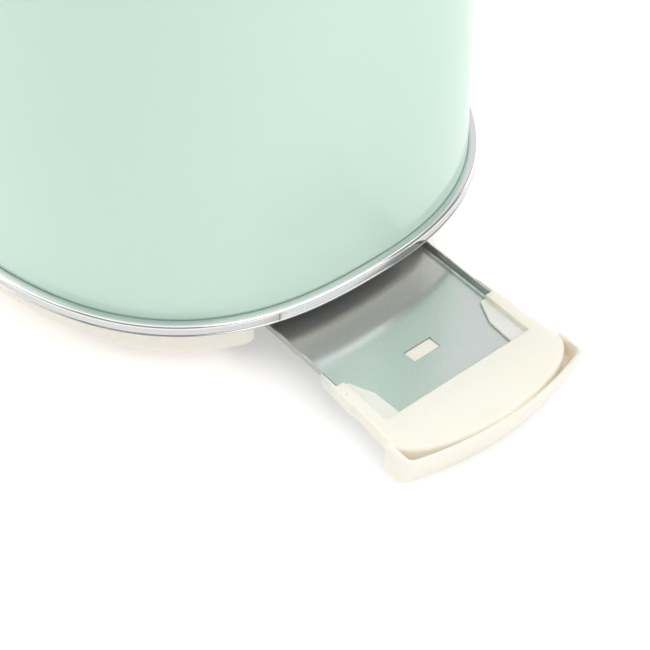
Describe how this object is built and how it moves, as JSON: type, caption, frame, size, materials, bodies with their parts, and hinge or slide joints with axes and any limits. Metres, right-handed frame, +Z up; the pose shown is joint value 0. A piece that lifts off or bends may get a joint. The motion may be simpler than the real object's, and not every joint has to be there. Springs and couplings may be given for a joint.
{
  "type": "two-slice toaster",
  "caption": "Retro two-slice toaster with a rounded enamelled housing on a bright trim band, a lever, a browning dial, push buttons and a slide-out crumb tray.",
  "frame": {"origin": "middle of the whole footprint with the crumb tray drawn out as modelled, on the surface that the feet stand on", "axes": "+X along the toaster towards the drawn-out crumb tray, with the lever and controls at -X; +Z up"},
  "size_m": [0.401, 0.2074, 0.2016],
  "materials": {
    "paint": "glossy mint-green enamel",
    "chrome": "bright chrome plate",
    "ivory": "satin ivory moulded plastic",
    "zinc_sheet": "bright aluminised steel sheet",
    "steel": "plain pressed steel",
    "mica": "mica insulating board",
    "nichrome": "resistance ribbon",
    "rubber": "dark rubber",
    "copper": "enamelled copper winding",
    "board": "circuit board",
    "black_plastic": "black moulded plastic"
  },
  "bodies": {
    "housing": {"body_shell": "paint", "top_plate": "chrome", "base_trim": "chrome", "base_pan": "ivory", "cord_gland": "black_plastic", "tray_catch": "steel", "chassis_floor": "steel", "end_plate_lever": "steel", "end_plate_tray": "steel", "element_board_centre": "mica", "magnet_core": "steel", "magnet_coil": "copper", "top_bracket": "steel", "return_spring": "steel", "control_board": "board", "dial_bezel": "chrome", "dial_potentiometer": "black_plastic", "lever_trim": "chrome", "terminal_block": "black_plastic", "foot_1": "rubber", "base_screw_1": "steel", "foot_2": "rubber", "base_screw_2": "steel", "foot_3": "rubber", "base_screw_3": "steel", "foot_4": "rubber", "base_screw_4": "steel", "reflector_left": "zinc_sheet", "element_board_left": "mica", "heating_wire_left": "nichrome", "heating_wire_centre_left": "nichrome", "guide_rod_left": "steel", "reflector_right": "zinc_sheet", "element_board_right": "mica", "heating_wire_right": "nichrome", "heating_wire_centre_right": "nichrome", "guide_rod_right": "steel", "button_ring_cancel": "chrome", "switch_cancel": "black_plastic", "button_ring_reheat": "chrome", "switch_reheat": "black_plastic", "button_ring_defrost": "chrome", "switch_defrost": "black_plastic"},
    "crumb_tray": {"tray_sheet": "zinc_sheet", "tray_handle": "ivory"},
    "carriage": {"carriage_bracket": "steel", "lever_arm": "steel", "lever_knob": "chrome", "armature_plate": "steel", "bread_rack_left": "steel", "bread_rack_right": "steel"},
    "browning_dial": {"browning_knob": "chrome", "dial_shaft": "steel"},
    "guide_outer_left": {"bread_guide_outer_left": "steel"},
    "guide_inner_left": {"bread_guide_inner_left": "steel"},
    "guide_outer_right": {"bread_guide_outer_right": "steel"},
    "guide_inner_right": {"bread_guide_inner_right": "steel"},
    "cancel_button": {"button_cancel": "ivory"},
    "reheat_button": {"button_reheat": "ivory"},
    "defrost_button": {"button_defrost": "ivory"}
  },
  "joints": [
    {"name": "crumb_tray_slide", "type": "slide", "parent": "housing", "child": "crumb_tray", "axis": [1, 0, 0], "range_m": [-0.066, 0.175]},
    {"name": "carriage_slide", "type": "slide", "parent": "housing", "child": "carriage", "axis": [0, 0, 1], "range_m": [-0.058, 0], "stiffness_N_per_m": 40, "springref_m": 0.075, "deforming": ["return_spring"]},
    {"name": "guide_outer_left_tilt", "type": "hinge", "parent": "housing", "child": "guide_outer_left", "pos_m": [-0.0245, 0.032, 0.0649], "axis": [1, 0, 0], "range_deg": [0, 3.05]},
    {"name": "guide_inner_left_tilt", "type": "hinge", "parent": "housing", "child": "guide_inner_left", "pos_m": [-0.0245, 0.01, 0.0649], "axis": [1, 0, 0], "range_deg": [-3.05, 0]},
    {"name": "guide_outer_right_tilt", "type": "hinge", "parent": "housing", "child": "guide_outer_right", "pos_m": [-0.0245, -0.032, 0.0649], "axis": [1, 0, 0], "range_deg": [-3.05, 0]},
    {"name": "guide_inner_right_tilt", "type": "hinge", "parent": "housing", "child": "guide_inner_right", "pos_m": [-0.0245, -0.01, 0.0649], "axis": [1, 0, 0], "range_deg": [0, 3.05]},
    {"name": "browning_dial_turn", "type": "hinge", "parent": "housing", "child": "browning_dial", "pos_m": [-0.1795, 0, 0.052], "axis": [-1, 0, 0], "range_deg": [0, 270]},
    {"name": "cancel_press", "type": "slide", "parent": "housing", "child": "cancel_button", "axis": [1, 0, 0], "range_m": [0, 0.0025], "stiffness_N_per_m": 300, "springref_m": -0.0015},
    {"name": "reheat_press", "type": "slide", "parent": "housing", "child": "reheat_button", "axis": [1, 0, 0], "range_m": [0, 0.0025], "stiffness_N_per_m": 300, "springref_m": -0.0015},
    {"name": "defrost_press", "type": "slide", "parent": "housing", "child": "defrost_button", "axis": [1, 0, 0], "range_m": [0, 0.0025], "stiffness_N_per_m": 300, "springref_m": -0.0015}
  ],
  "couplings": [
    {"joint": "guide_outer_left_tilt", "follows": "carriage_slide", "rad_per_m": -0.9034},
    {"joint": "guide_inner_left_tilt", "follows": "carriage_slide", "rad_per_m": 0.9034},
    {"joint": "guide_outer_right_tilt", "follows": "carriage_slide", "rad_per_m": 0.9034},
    {"joint": "guide_inner_right_tilt", "follows": "carriage_slide", "rad_per_m": -0.9034}
  ]
}
